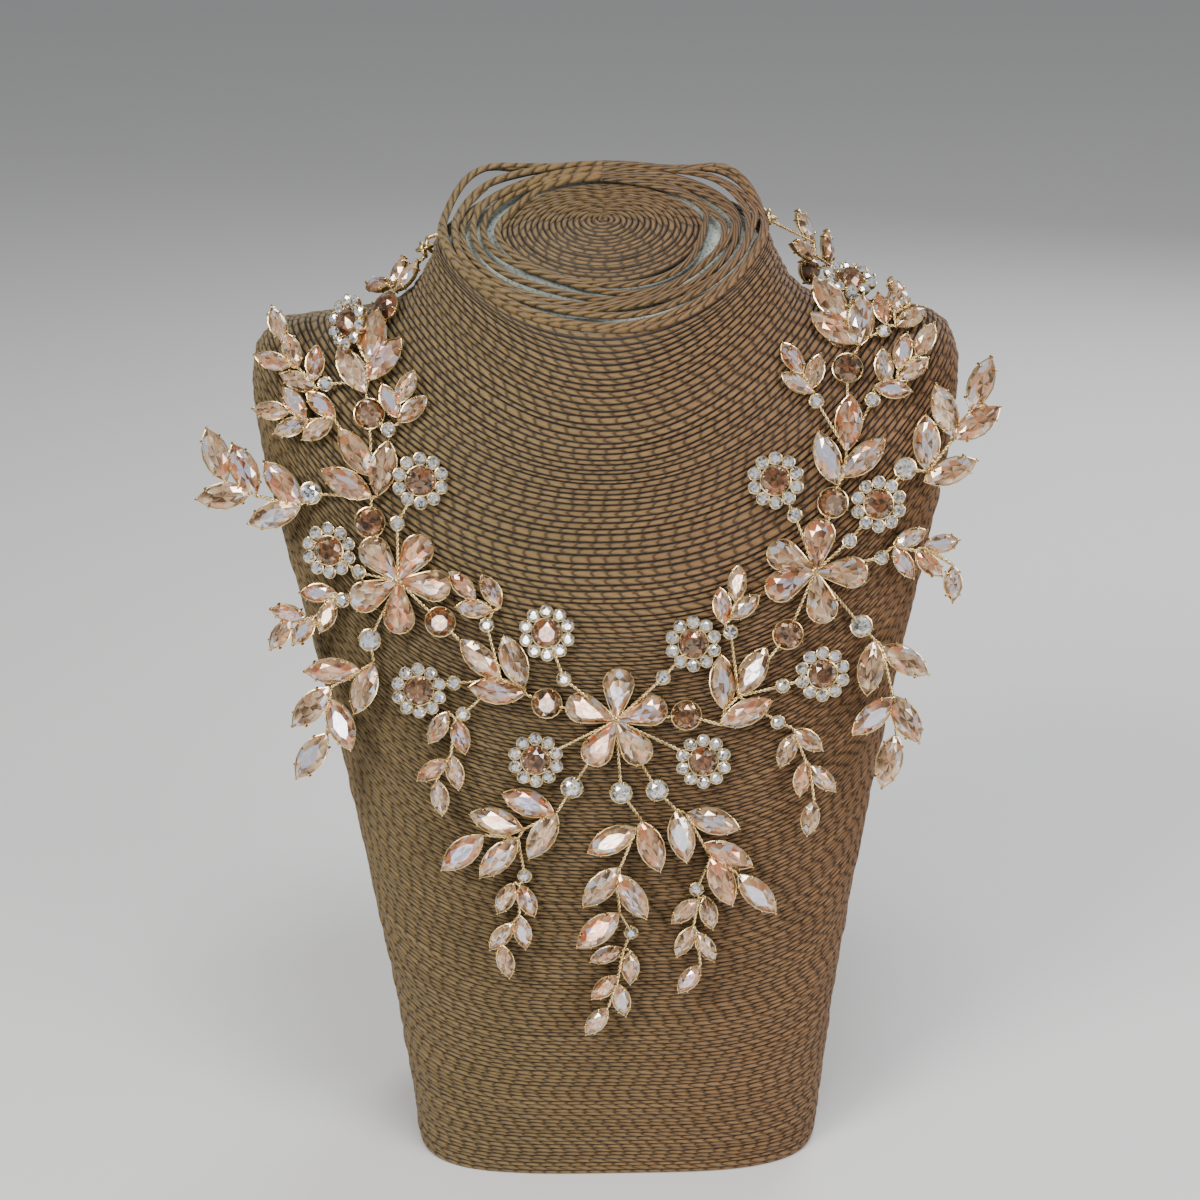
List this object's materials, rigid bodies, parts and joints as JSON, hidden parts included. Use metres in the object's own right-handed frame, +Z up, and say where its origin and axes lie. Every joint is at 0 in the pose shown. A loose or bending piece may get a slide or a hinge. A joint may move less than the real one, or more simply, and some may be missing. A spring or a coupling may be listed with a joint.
{
  "type": "bib necklace on neck bust",
  "caption": "Floral bib necklace of navette and round crystals wired with pale gold, worn on a free-standing cord-wound neck bust.",
  "frame": {"origin": "on the bust's flat base, below the middle of the neck", "axes": "+Z up, -Y the way the chest and the necklace face, +X towards the right-hand side of the front view"},
  "size_m": [0.218, 0.1034, 0.2848],
  "materials": {
    "paper_cord": "twisted paper cord, matt",
    "champagne_stone": "foil-backed cut glass, pale peach",
    "amber_stone": "foil-backed cut glass, amber brown",
    "clear_stone": "foil-backed cut glass, clear",
    "gilt_metal": "polished pale gold plating"
  },
  "bodies": {
    "root": {"neck_bust": "paper_cord", "flower_centre": "champagne_stone", "flower_left": "champagne_stone", "flower_right": "champagne_stone", "cluster_left_neck": "clear_stone", "cluster_left_outer": "clear_stone", "cluster_left_inner": "clear_stone", "cluster_left_lower": "clear_stone", "cluster_left_centre": "clear_stone", "cluster_right_inner": "clear_stone", "cluster_right_centre": "clear_stone", "cluster_right_lower": "clear_stone", "cluster_right_neck": "clear_stone", "cluster_right_outer": "clear_stone", "cluster_left_shoulder": "clear_stone", "cluster_right_shoulder": "clear_stone", "stone_left_1": "amber_stone", "stone_left_2": "amber_stone", "stone_left_3": "amber_stone", "stone_left_4": "amber_stone", "stone_left_5": "amber_stone", "stone_right_1": "amber_stone", "stone_right_2": "amber_stone", "stone_right_3": "amber_stone", "stone_right_4": "amber_stone", "stone_right_5": "amber_stone", "trio_left_neck": "champagne_stone", "trio_left_shoulder": "champagne_stone", "trio_left_chest": "champagne_stone", "trio_right_chest": "champagne_stone", "trio_right_shoulder": "champagne_stone", "trio_right_neck": "champagne_stone", "trio_left_back": "champagne_stone", "trio_right_back": "champagne_stone", "small_trio_left_shoulder": "champagne_stone", "small_trio_left_chest": "champagne_stone", "small_trio_right_chest": "champagne_stone", "small_trio_right_shoulder": "champagne_stone", "spray_centre_left": "champagne_stone", "spray_centre": "champagne_stone", "spray_centre_right": "champagne_stone", "spray_left_lower": "champagne_stone", "spray_right_lower": "champagne_stone", "spray_left_outer": "champagne_stone", "spray_right_outer": "champagne_stone", "sprig_left_outer": "champagne_stone", "sprig_right_outer": "champagne_stone", "sprig_left_upper": "champagne_stone", "sprig_left_middle": "champagne_stone", "sprig_right_upper": "champagne_stone", "sprig_right_top": "champagne_stone", "sprig_left_lower": "champagne_stone", "sprig_right_lower": "champagne_stone", "sprig_centre_left": "champagne_stone", "sprig_centre": "champagne_stone", "sprig_centre_right": "champagne_stone", "chain_left": "gilt_metal", "chain_right": "gilt_metal", "clasp": "gilt_metal"}
  },
  "joints": []
}
